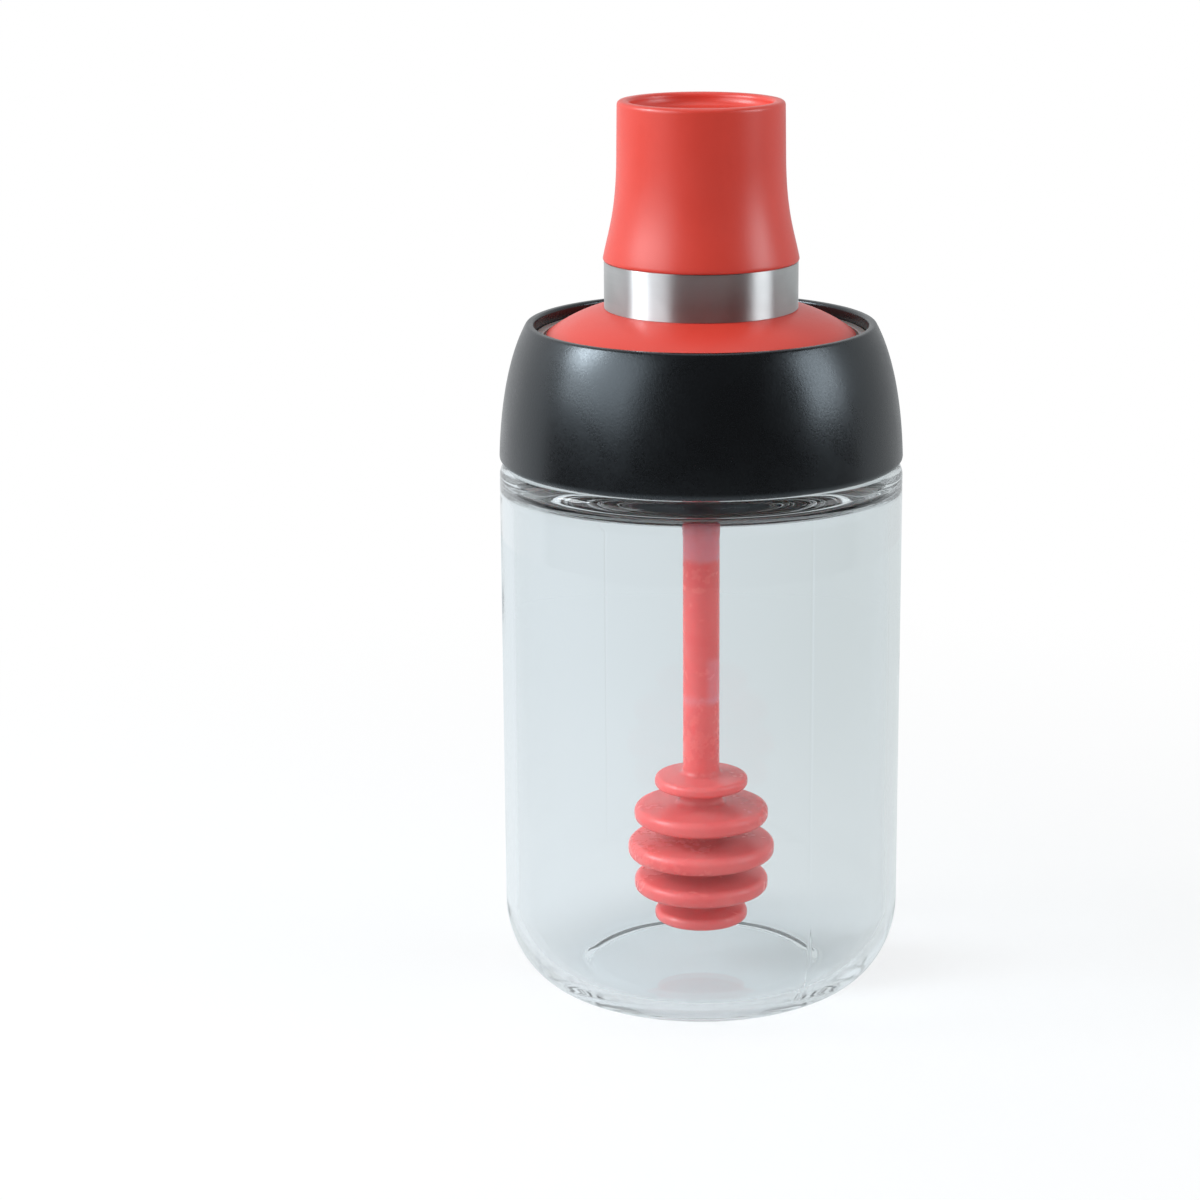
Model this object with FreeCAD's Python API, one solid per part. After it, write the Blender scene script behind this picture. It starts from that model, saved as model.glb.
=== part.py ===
import FreeCAD, Part
import math
import os

# Honey dispenser: a glass jar, a screw collar, and a plug-in lid that carries a honey dipper.
# Millimetres and degrees. +Z is up, and the origin is the centre of the jar's foot.

Vector = FreeCAD.Vector
centre = Vector(0, 0, 0)
up = Vector(0, 0, 1)

# Glass jar
jar_radius = 33.45
body_height = 90.7
glass_wall = 2.0
base_thickness = 2.8
heel_width = 11.95
heel_height = 14.6
inner_heel_width = 9.95
inner_heel_height = 11.8
foot_width = 0.9
push_up_height = 0.6
push_up_flat = 19.8
push_up_corner = 0.55
foot_corner = 0.4
shoulder_corner = 2.2
shoulder_thickness = 2.6
inner_shoulder_corner = 3.0
mouth_corner = 1.2
shoulder_width = 6.05
neck_wall = 2.5
neck_height = 16.9
neck_root_corner = 1.0
lip_corner = 0.9

# Clearances and fits; the screw thread, 5 mm a turn, stands in the thread room between neck and insert
shoulder_gap = 0.3
thread_room = 1.3
tube_clearance = 0.2
shell_clearance = 0.1
fit_clearance = 0.05
seal_clearance = 0.05
dome_gap = 0.4

# Neck gasket and thread insert
gasket_thickness = 1.4
gasket_margin = 0.3
web_thickness = 2.2
skirt_wall = 1.4
skirt_lift = 1.5
tube_wall = 1.2
tube_depth = 4.5
tube_lead = 0.4
shell_rib_count = 24
shell_rib_width = 1.2
shell_rib_lift = 1.0
snap_bead_height = 0.5
snap_bead_width = 1.4
snap_bead_gap = 0.1
snap_bead_root = 0.5
ring_lip_height = 0.5
ring_lip_width = 1.45
ring_lip_corner = 0.2

# Collar shell: a barrel whose side is a curve, with a pull at each end that shapes it
shell_overhang = 0.05
rim_rise = 2.5
shell_wall = 1.6
shell_foot_corner = 0.8
rim_overhang = 1.35
rim_wall = 1.25
rim_corner = 0.5
shell_foot_pull = 8.0
shell_foot_lean = 0.2
shell_rim_pull = 5.7
shell_rim_lean = 3.25

# Lid: dome with its spigot, and the plug below it with a lip that locates in the dome
dome_edge_height = 0.6
dome_edge_corner = 0.25
dome_rise = 5.0
dome_bulge = 0.4
dome_wall = 1.9
dome_inner_fall = 1.7
dome_shelf = 0.3
plug_gap = 1.3
plug_wall = 2.0
plug_depth = 7.2
plug_lip_height = 0.8
plug_lip_wall = 0.9
spigot_wall = 1.6
spigot_short = 0.6

# Seal and stem holder
seal_groove_depth = 0.9
seal_groove_height = 3.4
seal_groove_lift = 1.0
seal_body = 1.0
seal_fin_thickness = 0.7
seal_fin_droop = 0.35
seal_fin_count = 2
holder_floor = 1.6
holder_ring_wall = 1.3
holder_ring_height = 3.0
holder_rib_count = 6
holder_rib_width = 1.3
holder_rib_height = 2.2
socket_wall = 1.9
socket_depth = 9.4
socket_roof = 1.2
socket_below_floor = 3.0

# Steel band and grip
band_radius = 15.95
band_wall = 0.5
band_height = 7.8
grip_height = 26.0
grip_foot_overhang = 0.15
grip_foot_corner = 0.4
grip_foot_pull = 4.1
grip_foot_lean = 0.75
grip_waist_height = 17.0
grip_waist_inset = 2.15
grip_waist_pull = 9.5
grip_waist_lean = 0.1
grip_top_inset = 2.27
grip_rim_width = 2.0
grip_rim_corner = 0.65
grip_dish_depth = 2.2
grip_dish_corner = 1.5
grip_roof = 1.9
grip_skirt_depth = 5.5
grip_skirt_wall = 1.6
grip_core_taper = 0.5

# Dipper: a stem, and a head of discs whose rims lie on an ellipsoid
stem_radius = 3.1
stem_tip_corner = 0.5
stem_root_corner = 0.8
discs_each_side = 2
head_radius = 12.48
head_half_height = 15.3
head_height = 23.1
disc_gap = 3.4
disc_slimness = 4.3
disc_rounding = 0.38
disc_taper = 0.45
head_core_radius = 3.6
gap_passes = 8

same_point = 1e-6

# Heights and radii that follow from the sizes above
shell_bottom = body_height + shoulder_gap
shell_radius = jar_radius + shell_overhang
neck_radius = jar_radius - shoulder_width
rim_radius = neck_radius + rim_overhang
rim_bore = rim_radius - rim_wall
inner_radius = jar_radius - glass_wall
neck_bore = neck_radius - neck_wall
lip_height = body_height + neck_height
gasket_top = lip_height + gasket_thickness
seat_height = gasket_top + web_thickness
shell_top = seat_height + rim_rise
skirt_bore = neck_radius + thread_room
skirt_radius = skirt_bore + skirt_wall
skirt_bottom = shell_bottom + skirt_lift
rib_bottom = skirt_bottom + shell_rib_lift
tube_radius = neck_bore - tube_clearance
insert_bore = tube_radius - tube_wall
ring_lip_radius = rim_bore - shell_clearance
dome_radius = ring_lip_radius - ring_lip_width - dome_gap
plug_radius = insert_bore - plug_gap
plug_bore = plug_radius - plug_wall
dome_bore = plug_bore + plug_lip_wall + fit_clearance
plug_bottom = seat_height - plug_depth
groove_radius = plug_radius - seal_groove_depth
groove_bottom = plug_bottom + seal_groove_lift
groove_top = groove_bottom + seal_groove_height
band_bottom = seat_height + dome_rise
grip_bottom = band_bottom + band_height
grip_top = grip_bottom + grip_height
grip_foot_radius = band_radius + grip_foot_overhang
grip_waist_radius = band_radius - grip_waist_inset
grip_top_radius = band_radius - grip_top_inset
spigot_radius = band_radius - band_wall - fit_clearance
spigot_bore = spigot_radius - spigot_wall
spigot_top = grip_bottom - spigot_short
socket_bore = stem_radius + fit_clearance
socket_radius = socket_bore + socket_wall
socket_bottom = plug_bottom - holder_floor - socket_below_floor
stem_top = socket_bottom + socket_depth - fit_clearance


def at(radius, height):
    return Vector(radius, 0, height)


def bend(start, corner, end):
    """A rounded corner: a circular arc, or a quarter ellipse where the two legs differ."""
    weight = math.sin(0.5 * (start - corner).getAngle(end - corner))
    if abs((start - corner).Length - (end - corner).Length) < same_point:
        middle = (start + end + corner * (2 * weight)) * (0.5 / (1 + weight))
        return Part.Arc(start, middle, end).toShape()
    bezier = Part.BezierCurve()
    bezier.setPoles([start, corner, end])
    bezier.setWeight(2, weight)
    return bezier.toShape()


def curve(start, start_pull, end_pull, end):
    bezier = Part.BezierCurve()
    bezier.setPoles([start, start_pull, end_pull, end])
    return bezier.toShape()


def toward(start, goal, distance):
    if distance == 0:
        return start
    return start + (goal - start).normalize() * distance


def outline(corners, closed=True):
    """Straight edges through (radius, height) corners; a third and fourth number round a corner off."""
    points = [at(corner[0], corner[1]) for corner in corners]
    edges = []
    last_end = None
    first_start = None
    for index, corner in enumerate(corners):
        before = corner[2] if len(corner) > 2 else 0
        after = corner[3] if len(corner) > 3 else before
        start = toward(points[index], points[index - 1], before)
        end = toward(points[index], points[(index + 1) % len(points)], after)
        if index == 0:
            first_start = start
        elif (start - last_end).Length > same_point:
            edges.append(Part.makeLine(last_end, start))
        if before > 0:
            edges.append(bend(start, points[index], end))
        last_end = end
    if closed and (first_start - last_end).Length > same_point:
        edges.append(Part.makeLine(last_end, first_start))
    return edges


def turned(edges):
    """The solid that a closed outline makes when it is turned about the axis."""
    return Part.Face(Part.Wire(edges)).revolve(centre, up, 360)


def ring(inner, outer, low, high):
    solid = Part.makeCylinder(outer, high - low, at(0, low))
    return solid.cut(Part.makeCylinder(inner, high - low, at(0, low)))


def spokes(count, width, inner, outer, low, high):
    """Upright ribs, evenly spaced round the axis."""
    rib = Part.makeBox(outer - inner, width, high - low, Vector(inner, -width / 2, low))
    ribs = []
    for number in range(count):
        copy = rib.copy()
        copy.rotate(centre, up, 360 * number / count)
        ribs.append(copy)
    return Part.Compound(ribs)


def jar():
    ceiling = body_height - shoulder_thickness
    return turned(outline([
        (0, push_up_height),
        (push_up_flat, push_up_height, push_up_corner),
        (jar_radius - heel_width - foot_width, 0, foot_corner),
        (jar_radius, 0, heel_width, heel_height),
        (jar_radius, body_height, shoulder_corner),
        (neck_radius, body_height, neck_root_corner),
        (neck_radius, lip_height, lip_corner),
        (neck_bore, lip_height, lip_corner),
        (neck_bore, ceiling, mouth_corner),
        (inner_radius, ceiling, inner_shoulder_corner),
        (inner_radius, base_thickness, inner_heel_height, inner_heel_width),
        (0, base_thickness),
    ]))


def neck_gasket():
    return ring(neck_bore + gasket_margin / 2, neck_radius - gasket_margin, lip_height, gasket_top)


def barrel(inset, low, high):
    """The shell's outer form moved inwards by inset, between two heights."""
    foot = at(shell_radius - inset, shell_bottom)
    rim = at(rim_radius - inset, shell_top)
    side = curve(
        foot,
        foot + at(-shell_foot_lean, shell_foot_pull),
        rim + at(shell_rim_lean, -shell_rim_pull),
        rim,
    )
    form = turned([
        side,
        Part.makeLine(rim, at(0, shell_top)),
        Part.makeLine(at(0, shell_top), at(0, shell_bottom)),
        Part.makeLine(at(0, shell_bottom), foot),
    ])
    return form.common(Part.makeCylinder(shell_radius, high - low, at(0, low)))


def rounded(shape, radius, height, corner):
    """The shape with its circular edge of that radius and height rounded off."""
    edges = []
    for edge in shape.Edges:
        circle = edge.Curve
        if not isinstance(circle, Part.Circle):
            continue
        if abs(circle.Radius - radius) < same_point and abs(circle.Center.z - height) < same_point:
            edges.append(edge)
    return shape.makeFillet(corner, edges)


def snap_bead():
    """The ridge inside the shell that the insert's ribs snap over."""
    wall = shell_radius - shell_wall
    top = rib_bottom - snap_bead_gap
    return turned(outline([
        (wall + snap_bead_root, top),
        (wall + snap_bead_root, top - snap_bead_width),
        (wall, top - snap_bead_width),
        (wall - snap_bead_height, top - snap_bead_height),
        (wall - snap_bead_height, top - snap_bead_gap),
        (wall, top),
    ]))


def collar_shell():
    shell = barrel(0, shell_bottom, shell_top)
    shell = shell.cut(barrel(shell_wall, shell_bottom, seat_height))
    shell = shell.fuse(snap_bead())
    shell = shell.cut(Part.makeCylinder(rim_bore, shell_top - seat_height, at(0, seat_height)))
    shell = rounded(shell, shell_radius, shell_bottom, shell_foot_corner)
    shell = rounded(shell, rim_radius, shell_top, rim_corner)
    return rounded(shell, rim_bore, shell_top, rim_corner)


def thread_insert():
    inset = shell_wall + shell_clearance
    web = barrel(inset, gasket_top, seat_height)
    ribs = spokes(shell_rib_count, shell_rib_width, skirt_bore, shell_radius, rib_bottom, gasket_top)
    skirt = barrel(inset, skirt_bottom, gasket_top).common(
        Part.makeCylinder(skirt_radius, gasket_top - skirt_bottom, at(0, skirt_bottom))
    )
    skirt = skirt.fuse(ribs.common(barrel(inset, rib_bottom, gasket_top)))
    skirt = skirt.cut(Part.makeCylinder(skirt_bore, gasket_top - skirt_bottom, at(0, skirt_bottom)))
    tube = turned(outline([
        (insert_bore, gasket_top - tube_depth, tube_lead),
        (tube_radius, gasket_top - tube_depth, tube_lead),
        (tube_radius, gasket_top + web_thickness / 2),
        (insert_bore, gasket_top + web_thickness / 2),
    ]))
    ring_lip = turned(outline([
        (ring_lip_radius - ring_lip_width, seat_height - web_thickness / 2),
        (ring_lip_radius, seat_height - web_thickness / 2),
        (ring_lip_radius, seat_height + ring_lip_height, ring_lip_corner),
        (ring_lip_radius - ring_lip_width, seat_height + ring_lip_height, ring_lip_corner),
    ]))
    bored_web = web.cut(Part.makeCylinder(insert_bore, web_thickness, at(0, gasket_top)))
    return bored_web.fuse([skirt, tube, ring_lip])


def lid_dome():
    edge = at(dome_radius, seat_height + dome_edge_height)
    shelf = at(band_radius + dome_shelf, band_bottom)
    middle = (edge + shelf) * 0.5 + at(dome_bulge, dome_bulge)
    inner_top = band_bottom - dome_wall
    inside = outline([
        (shelf.x, shelf.z),
        (spigot_radius, band_bottom),
        (spigot_radius, spigot_top),
        (spigot_bore, spigot_top),
        (spigot_bore, inner_top),
        (dome_bore, inner_top - dome_inner_fall),
        (dome_bore, seat_height),
        (dome_radius, seat_height),
        (edge.x, edge.z),
    ], closed=False)
    dome = turned(inside + [Part.Arc(edge, middle, shelf).toShape()])
    return rounded(dome, edge.x, edge.z, dome_edge_corner)


def lid_plug():
    """The wall that stands in the insert's bore, grooved for the seal."""
    lip_radius = plug_bore + plug_lip_wall
    return turned(outline([
        (plug_bore, plug_bottom),
        (plug_radius, plug_bottom),
        (plug_radius, groove_bottom),
        (groove_radius, groove_bottom),
        (groove_radius, groove_top),
        (plug_radius, groove_top),
        (plug_radius, seat_height),
        (lip_radius, seat_height),
        (lip_radius, seat_height + plug_lip_height),
        (plug_bore, seat_height + plug_lip_height),
    ]))


def plug_seal():
    """A ring of silicone in the plug's groove, with fins that wipe the insert's bore."""
    inner = groove_radius + seal_clearance
    low = groove_bottom + seal_clearance
    high = groove_top - seal_clearance
    tip = insert_bore - seal_clearance
    seal = ring(inner, groove_radius + seal_body, low, high)
    spacing = (high - low - seal_fin_thickness) / (seal_fin_count - 1)
    for number in range(seal_fin_count):
        root = low + number * spacing
        fin = turned(outline([
            (inner, root),
            (tip, root + seal_fin_droop),
            (tip, root + seal_fin_thickness),
            (inner, root + seal_fin_thickness),
        ]))
        seal = seal.fuse(fin)
    return seal


def stem_holder():
    """The lid's bottom plate, with a ribbed socket for the dipper's stem."""
    floor_bottom = plug_bottom - holder_floor
    ring_radius = plug_bore - fit_clearance
    ring_bore = ring_radius - holder_ring_wall
    plate = Part.makeCylinder(plug_radius, holder_floor, at(0, floor_bottom))
    locating_ring = ring(ring_bore, ring_radius, floor_bottom, plug_bottom + holder_ring_height)
    socket_height = socket_depth + socket_roof
    socket = Part.makeCylinder(socket_radius, socket_height, at(0, socket_bottom))
    reach = ring_bore + holder_ring_wall / 2
    rib_top = plug_bottom + holder_rib_height
    ribs = spokes(holder_rib_count, holder_rib_width, socket_bore, reach, floor_bottom, rib_top)
    holder = plate.fuse([locating_ring, socket, *ribs.Solids])
    return holder.cut(Part.makeCylinder(socket_bore, socket_depth, at(0, socket_bottom)))


def steel_band():
    return ring(spigot_radius + fit_clearance, band_radius, band_bottom, grip_bottom)


def grip():
    """A waisted handle, dished on top, hollow from below, with a skirt that plugs into the spigot."""
    skirt_outside = spigot_bore - fit_clearance
    skirt_end = grip_bottom - grip_skirt_depth
    core_radius = skirt_outside - grip_skirt_wall
    dish_radius = grip_top_radius - grip_rim_width
    dish_floor = grip_top - grip_dish_depth
    foot = at(grip_foot_radius, grip_bottom + grip_foot_corner)
    waist = at(grip_waist_radius, grip_bottom + grip_waist_height)
    lower = outline([
        (0, dish_floor - grip_roof),
        (core_radius - grip_core_taper, dish_floor - grip_roof),
        (core_radius, skirt_end),
        (skirt_outside, skirt_end),
        (skirt_outside, grip_bottom),
        (foot.x - grip_foot_corner, grip_bottom),
    ], closed=False)
    side = curve(
        foot,
        foot + at(-grip_foot_lean, grip_foot_pull),
        waist + at(grip_waist_lean, -grip_waist_pull),
        waist,
    )
    upper = outline([
        (waist.x, waist.z),
        (grip_top_radius, grip_top, grip_rim_corner),
        (dish_radius, grip_top, grip_rim_corner),
        (dish_radius, dish_floor, grip_dish_corner),
        (0, dish_floor),
        (0, dish_floor - grip_roof),
    ], closed=False)
    foot_bend = bend(at(foot.x - grip_foot_corner, grip_bottom), at(foot.x, grip_bottom), foot)
    return turned(lower + [foot_bend, side] + upper)


def disc_places():
    """Height, radius and thickness of each disc: rims on the ellipsoid, equal gaps between discs."""
    middle = (head_height, head_radius, head_radius / disc_slimness)
    places = [middle]
    for side in (-1, 1):
        height, radius, thickness = middle
        for number in range(discs_each_side):
            face = height + side * (thickness / 2 + disc_gap)
            for refinement in range(gap_passes):
                height = face + side * thickness / 2
                offset = (height - head_height) / head_half_height
                radius = head_radius * math.sqrt(1 - offset ** 2)
                thickness = radius / disc_slimness
            places.append((height, radius, thickness))
    return sorted(places)


def dipper():
    corners = []
    for height, radius, thickness in disc_places():
        corner = disc_rounding * thickness
        root = thickness / 2 + disc_taper
        corners += [
            (head_core_radius, height - root),
            (radius, height - thickness / 2, corner),
            (radius, height + thickness / 2, corner),
            (head_core_radius, height + root),
        ]
    corners[0] = (0, corners[0][1])
    corners[-1] = (stem_radius, corners[-1][1], stem_root_corner)
    return turned(outline(corners + [(stem_radius, stem_top, stem_tip_corner), (0, stem_top)]))


pieces = {
    "jar": jar,
    "neck_gasket": neck_gasket,
    "thread_insert": thread_insert,
    "collar_shell": collar_shell,
    "plug_seal": plug_seal,
    "lid_dome": lid_dome,
    "lid_plug": lid_plug,
    "stem_holder": stem_holder,
    "steel_band": steel_band,
    "grip": grip,
    "dipper": dipper,
}

os.makedirs("parts", exist_ok=True)
for name, make in pieces.items():
    shape = make()
    shape.exportStep(f"parts/{name}.step")
    box = shape.BoundBox
    print(f"{name}: {len(shape.Solids)} solid, {shape.Volume:.0f} mm3, z {box.ZMin:.2f} to {box.ZMax:.2f}")
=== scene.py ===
import math

import bmesh
import bpy
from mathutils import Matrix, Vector


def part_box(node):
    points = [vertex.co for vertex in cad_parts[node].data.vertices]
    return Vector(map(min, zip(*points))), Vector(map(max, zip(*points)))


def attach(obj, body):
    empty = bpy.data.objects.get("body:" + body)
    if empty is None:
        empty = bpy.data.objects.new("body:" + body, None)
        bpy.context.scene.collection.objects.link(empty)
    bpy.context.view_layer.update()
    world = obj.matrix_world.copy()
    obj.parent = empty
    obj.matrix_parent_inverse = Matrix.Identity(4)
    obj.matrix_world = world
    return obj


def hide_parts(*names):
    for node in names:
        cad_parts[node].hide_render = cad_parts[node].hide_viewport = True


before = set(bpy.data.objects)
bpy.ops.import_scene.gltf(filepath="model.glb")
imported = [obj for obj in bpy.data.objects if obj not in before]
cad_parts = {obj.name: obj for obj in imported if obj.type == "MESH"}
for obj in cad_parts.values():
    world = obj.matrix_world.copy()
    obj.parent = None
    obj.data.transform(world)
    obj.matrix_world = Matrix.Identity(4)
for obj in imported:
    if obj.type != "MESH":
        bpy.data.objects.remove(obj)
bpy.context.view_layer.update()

scene = bpy.context.scene
mm = 0.001
nearly = 0.01  # millimetres within which a point counts as lying on a wall
fullTurn = 2 * math.pi


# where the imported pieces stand, in millimetres
def topOf(node):
    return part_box(node)[1].z / mm


def bottomOf(node):
    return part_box(node)[0].z / mm


def radiusOf(node):
    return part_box(node)[1].x / mm


# the camera stands a little above the lid and looks down; the jar is right of the middle
cameraSet = {
    "distance": 0.5325,
    "height": 0.2071,
    "degreesDown": 14.8,
    "focalPixels": 3275.5,
    "framePixels": 1200,
    "jarPixel": 701.2,
    "sensor": 36.0,
    "clipStart": 0.01,
}


def addObject(name, data):
    thing = bpy.data.objects.new(name, data)
    scene.collection.objects.link(thing)
    return thing


def makeCamera(size):
    lens = bpy.data.cameras.new("camera")
    lens.sensor_width = size["sensor"]
    lens.lens = size["focalPixels"] / size["framePixels"] * size["sensor"]
    lens.shift_x = 0.5 - size["jarPixel"] / size["framePixels"]
    lens.clip_start = size["clipStart"]
    camera = addObject("camera", lens)
    camera.location = (0, -size["distance"], size["height"])
    camera.rotation_euler = (math.radians(90 - size["degreesDown"]), 0, 0)
    scene.camera = camera


makeCamera(cameraSet)
print("camera: placed")


# small helpers for node trees
def link(tree, value, socket):
    if isinstance(value, bpy.types.NodeSocket):
        tree.links.new(value, socket)
    else:
        socket.default_value = value


def addNode(tree, kind, inputs=None, **settings):
    node = tree.nodes.new(kind)
    for name, value in settings.items():
        setattr(node, name, value)
    for name, value in (inputs or {}).items():
        link(tree, value, node.inputs[name])
    return node


def calc(tree, operation, *values):
    node = addNode(tree, "ShaderNodeMath", dict(enumerate(values)), operation=operation)
    return node.outputs[0]


def times(tree, first, *others):
    for value in others:
        first = calc(tree, "MULTIPLY", first, value)
    return first


def mixTones(tree, share, first, second):
    node = addNode(tree, "ShaderNodeMix", {0: share, 6: first, 7: second}, data_type="RGBA")
    return node.outputs[2]


def mixShaders(tree, share, first, second):
    return addNode(tree, "ShaderNodeMixShader", {0: share, 1: first, 2: second}).outputs["Shader"]


def objectSpot(tree):
    return addNode(tree, "ShaderNodeTexCoord").outputs["Object"]


def partsOf(tree, vector):
    return addNode(tree, "ShaderNodeSeparateXYZ", {"Vector": vector}).outputs


def noise(tree, spot, size, inputs):
    scale = 1 / size if isinstance(size, float) else calc(tree, "DIVIDE", 1.0, size)
    return addNode(tree, "ShaderNodeTexNoise", {"Vector": spot, "Scale": scale, **inputs}).outputs["Fac"]


def ramp(tree, value, low, high, fromValue=0.0, toValue=1.0, smooth=False):
    kind = "SMOOTHSTEP" if smooth else "LINEAR"
    inputs = {"Value": value, "From Min": low, "From Max": high, "To Min": fromValue, "To Max": toValue}
    return addNode(tree, "ShaderNodeMapRange", inputs, interpolation_type=kind).outputs["Result"]


def newTree(name, kind, inputs, outputs):
    # an input is given as its first value, or as the name of its kind where it has none
    tree = bpy.data.node_groups.new(name, kind)
    kinds = {float: "Float", int: "Int", tuple: "Color"}
    for label, value in inputs.items():
        socketKind = kinds.get(type(value), value)
        socket = tree.interface.new_socket(label, in_out="INPUT", socket_type="NodeSocket" + socketKind)
        if socketKind != value:
            socket.default_value = value
    for label, socketKind in outputs.items():
        tree.interface.new_socket(label, in_out="OUTPUT", socket_type="NodeSocket" + socketKind)
    return tree, tree.nodes.new("NodeGroupInput").outputs, tree.nodes.new("NodeGroupOutput").inputs


weldDistance = 2e-6  # joins the first and last column, and each pole


# Geometry Nodes: an outline turned about the axis, with a thread ridge and mould seams where wanted
def makeTurnedBody():
    tree, given, result = newTree("turnedBody", "GeometryNodeTree", {
        "Outline": "Geometry",
        "Segments": 256,
        "Seam Angle": 0.0,
        "Seam Crowding": 0.0,
        "Seam Height": 0.0,
        "Seam Half Angle": 0.01,
        "Ridge Height": 0.0,
        "Ridge Root": 0.002,
        "Ridge Crest": 0.001,
        "Ridge Pitch": 0.005,
        "Ridge Start": 0.0,
        "Ridge Lead": 0.0,
        "Ridge Sweep": 1.0,
        "Ridge Fade": 0.5,
        "Material": "Material",
    }, {"Body": "Geometry"})
    count = addNode(tree, "GeometryNodeAttributeDomainSize", {"Geometry": given["Outline"]})
    rows = count.outputs["Point Count"]
    columns = calc(tree, "ADD", given["Segments"], 1)
    grid = addNode(tree, "GeometryNodeMeshGrid", {"Vertices X": columns, "Vertices Y": rows})
    index = addNode(tree, "GeometryNodeInputIndex").outputs["Index"]
    column = calc(tree, "FLOOR", calc(tree, "DIVIDE", calc(tree, "ADD", index, 0.5), rows))
    row = calc(tree, "SUBTRACT", index, times(tree, column, rows))

    def fromOutline(field, kind):
        inputs = {"Geometry": given["Outline"], "Value": field, "Index": row}
        return addNode(tree, "GeometryNodeSampleIndex", inputs, data_type=kind).outputs["Value"]

    def share(label):
        named = addNode(tree, "GeometryNodeInputNamedAttribute", {"Name": label}, data_type="FLOAT")
        return fromOutline(named.outputs["Attribute"], "FLOAT")

    place = fromOutline(addNode(tree, "GeometryNodeInputPosition").outputs["Position"], "FLOAT_VECTOR")
    flat = partsOf(tree, place)
    even = times(tree, calc(tree, "DIVIDE", column, given["Segments"]), fullTurn)
    # the columns crowd together at the two mould seams
    pinch = calc(tree, "SINE", times(tree, calc(tree, "SUBTRACT", even, given["Seam Angle"]), 2))
    shift = times(tree, pinch, calc(tree, "DIVIDE", given["Seam Crowding"], 2))
    angle = calc(tree, "SUBTRACT", even, shift)
    fromSeam = calc(tree, "SUBTRACT", angle, given["Seam Angle"])
    fromSeam = calc(tree, "ABSOLUTE", calc(tree, "WRAP", fromSeam, math.pi / 2, -math.pi / 2))
    seam = ramp(tree, fromSeam, 0.0, given["Seam Half Angle"], 1.0, 0.0, smooth=True)
    seam = times(tree, seam, given["Seam Height"], share("seam"))
    # the ridge may pass the same angle twice, one pitch higher, so both passes are worked out
    firstPass = calc(tree, "WRAP", calc(tree, "SUBTRACT", angle, given["Ridge Lead"]), fullTurn, 0.0)
    rises = []
    for passNumber in range(2):
        turned = calc(tree, "ADD", firstPass, passNumber * fullTurn)
        toEnd = calc(tree, "MINIMUM", turned, calc(tree, "SUBTRACT", given["Ridge Sweep"], turned))
        fade = ramp(tree, toEnd, 0.0, given["Ridge Fade"], smooth=True)
        climb = times(tree, given["Ridge Pitch"], calc(tree, "DIVIDE", turned, fullTurn))
        middle = calc(tree, "ADD", given["Ridge Start"], climb)
        away = calc(tree, "ABSOLUTE", calc(tree, "SUBTRACT", flat["Z"], middle))
        flank = ramp(tree, away, given["Ridge Crest"], given["Ridge Root"], 1.0, 0.0, smooth=True)
        rises.append(times(tree, fade, flank))
    ridge = times(tree, calc(tree, "MAXIMUM", *rises), given["Ridge Height"], share("ridge"))
    reach = calc(tree, "ADD", flat["X"], calc(tree, "ADD", ridge, seam))
    spot = addNode(tree, "ShaderNodeCombineXYZ", {
        "X": times(tree, reach, calc(tree, "COSINE", angle)),
        "Y": times(tree, reach, calc(tree, "SINE", angle)),
        "Z": flat["Z"],
    })
    body = grid.outputs["Mesh"]
    for kind, inputs in (
        ("SetPosition", {"Position": spot.outputs["Vector"]}),
        ("MergeByDistance", {"Distance": weldDistance}),
        ("SetShadeSmooth", {}),
        ("RealizeInstances", {}),
        ("SetMaterial", {"Material": given["Material"]}),
    ):
        body = addNode(tree, "GeometryNode" + kind, {"Geometry": body, **inputs}).outputs[0]
    link(tree, body, result["Body"])
    return tree


# Geometry Nodes: one rib repeated round the axis and grown into the body that carries it
def makeRibbedBody():
    tree, given, result = newTree("ribbedBody", "GeometryNodeTree", {
        "Body": "Geometry",
        "Rib": "Object",
        "Count": 6,
        "Material": "Material",
    }, {"Body": "Geometry"})
    rib = addNode(tree, "GeometryNodeObjectInfo", {"Object": given["Rib"]})
    points = addNode(tree, "GeometryNodeMeshLine", {"Count": given["Count"], "Offset": (0, 0, 0)})
    index = addNode(tree, "GeometryNodeInputIndex").outputs["Index"]
    turn = times(tree, calc(tree, "DIVIDE", index, given["Count"]), fullTurn)
    spun = addNode(tree, "ShaderNodeCombineXYZ", {"Z": turn})
    ribs = addNode(tree, "GeometryNodeInstanceOnPoints", {
        "Points": points.outputs["Mesh"],
        "Instance": rib.outputs["Geometry"],
        "Rotation": spun.outputs["Vector"],
    })
    real = addNode(tree, "GeometryNodeRealizeInstances", {"Geometry": ribs.outputs["Instances"]})
    whole = addNode(tree, "GeometryNodeMeshBoolean", operation="UNION", solver="MANIFOLD")
    for part in (given["Body"], real.outputs[0]):
        link(tree, part, whole.inputs["Mesh 2"])
    painted = addNode(tree, "GeometryNodeSetMaterial", {
        "Geometry": whole.outputs["Mesh"], "Material": given["Material"],
    })
    link(tree, painted.outputs[0], result["Body"])
    return tree


turnedBody = makeTurnedBody()
ribbedBody = makeRibbedBody()
print("geometry node trees: made")

# outlines are lists of (radius, height) points in millimetres
smoothing = {"edgeHold": 0.2, "stepsPerMm": 5, "fewestSteps": 4, "mostSteps": 22, "sharpDegrees": 32}


def toward(start, goal, distance):
    if distance == 0:
        return start.copy()
    return start + (goal - start).normalized() * distance


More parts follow.
